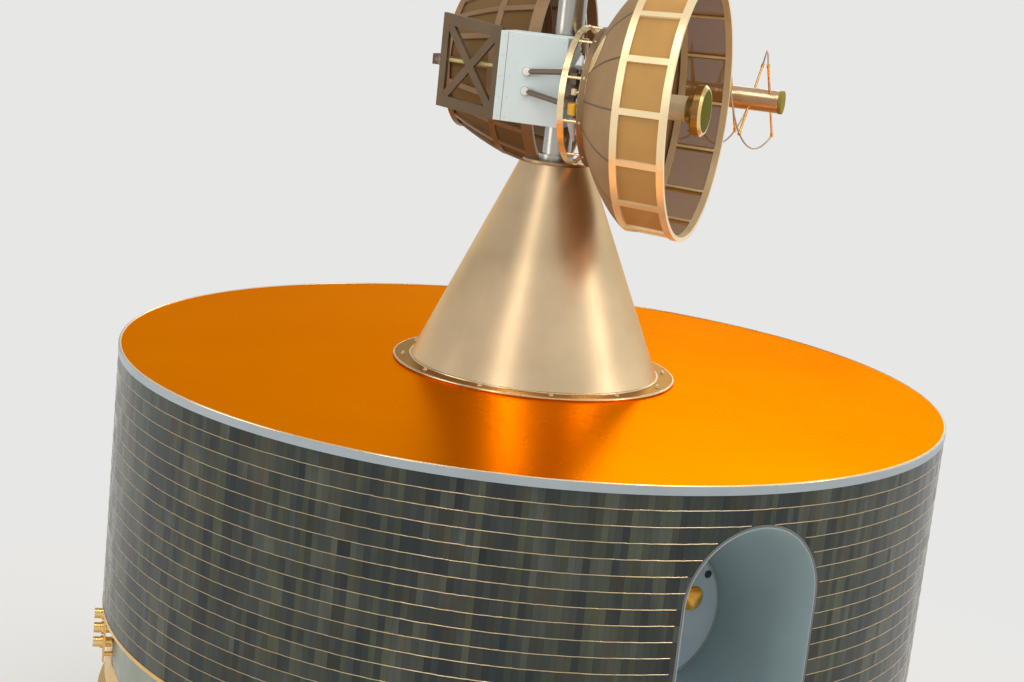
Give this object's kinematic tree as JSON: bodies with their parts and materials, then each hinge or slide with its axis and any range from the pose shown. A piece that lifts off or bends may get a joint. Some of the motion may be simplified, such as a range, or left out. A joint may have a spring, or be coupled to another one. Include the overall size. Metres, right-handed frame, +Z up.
{
  "type": "drum-bodied communications satellite",
  "caption": "Solar-cell drum with a gold top deck, cone tower and a despun mast carrying two ribbed mesh dish antennas, a helix antenna and an electronics box.",
  "frame": {"origin": "centre of the underside of the adapter ring, on which the satellite stands", "axes": "+Z up along the spin axis; -Y is the side the picture was taken from; the dishes point 17.2 degrees from +X towards -Y"},
  "size_m": [2.7428, 2.7428, 3.95],
  "materials": {
    "machined_metal": "satin machined",
    "deck_underside": "satin paint",
    "solar_cells": "dark glass cells with fine metal lines",
    "gold_trim": "satin",
    "belt_wall": "satin grey-green",
    "rim_white": "pale satin",
    "gold_deck": "satin orange gold",
    "equipment": "plain",
    "bay_lining": "satin blue-grey",
    "nozzle_gold": "polished",
    "tower_metal": "brushed champagne",
    "bearing_dark": "dark satin",
    "polished_tube": "polished",
    "box_white": "pale satin",
    "truss_brown": "brown satin",
    "ring_metal": "polished",
    "mesh_brown": "fine woven mesh",
    "rib_metal": "satin",
    "gold_wire": "satin wire"
  },
  "bodies": {
    "drum": {"adapter_ring": "machined_metal", "bottom_deck": "deck_underside", "lower_solar_panel": "solar_cells", "belt_rim_lower": "gold_trim", "belt_rim_upper": "gold_trim", "belt_wall": "belt_wall", "belt_band": "gold_trim", "top_rim": "rim_white", "top_deck": "gold_deck", "equipment_block": "equipment", "upper_solar_panel_left": "solar_cells", "upper_solar_panel_right": "solar_cells", "bay_liner_front": "bay_lining", "bay_liner_back": "bay_lining", "bay_jet_front": "nozzle_gold", "bay_jet_back": "nozzle_gold", "coupling_plate": "gold_trim", "couplings": "nozzle_gold", "belt_jets": "nozzle_gold", "cone_tower": "tower_metal", "mast_bearing": "bearing_dark"},
    "mast": {"mast_tube": "polished_tube", "mast_clamp_lower": "bearing_dark", "mast_clamp_middle": "bearing_dark", "mast_clamp_upper": "bearing_dark", "electronics_box": "box_white", "truss_frame": "truss_brown", "truss_arms": "truss_brown", "near_pivot_plate": "truss_brown", "near_struts": "truss_brown", "near_pivot_lug": "truss_brown", "far_pivot_arm": "truss_brown", "helix_arm": "polished_tube", "helix_tube": "polished_tube", "helix_coil": "gold_wire", "head_antenna": "box_white", "head_whip": "polished_tube"},
    "near_dish": {"near_hub": "ring_metal", "near_hub_plate": "mesh_brown", "near_bowl": "mesh_brown", "near_band_frame": "rib_metal", "near_band_skin": "mesh_brown", "near_feed_tube": "polished_tube", "near_feed_puck": "nozzle_gold", "near_cage_units": "nozzle_gold"},
    "far_dish": {"far_hub": "ring_metal", "far_hub_plate": "mesh_brown", "far_bowl": "mesh_brown", "far_band_frame": "rib_metal", "far_band_skin": "mesh_brown", "far_feed_tube": "polished_tube", "far_feed_puck": "nozzle_gold"}
  },
  "joints": [
    {"name": "mast_spin", "type": "hinge", "parent": "drum", "child": "mast", "pos_m": [0, 0, 2.58], "axis": [0, 0, 1], "continuous": true},
    {"name": "near_dish_tilt", "type": "hinge", "parent": "mast", "child": "near_dish", "pos_m": [0.06002, -0.20177, 2.823], "axis": [0.2957, 0.9553, 0], "range_deg": [-8, 8]},
    {"name": "far_dish_tilt", "type": "hinge", "parent": "mast", "child": "far_dish", "pos_m": [-0.34232, 0.67124, 2.854], "axis": [0.2957, 0.9553, 0], "range_deg": [-8, 8]}
  ]
}
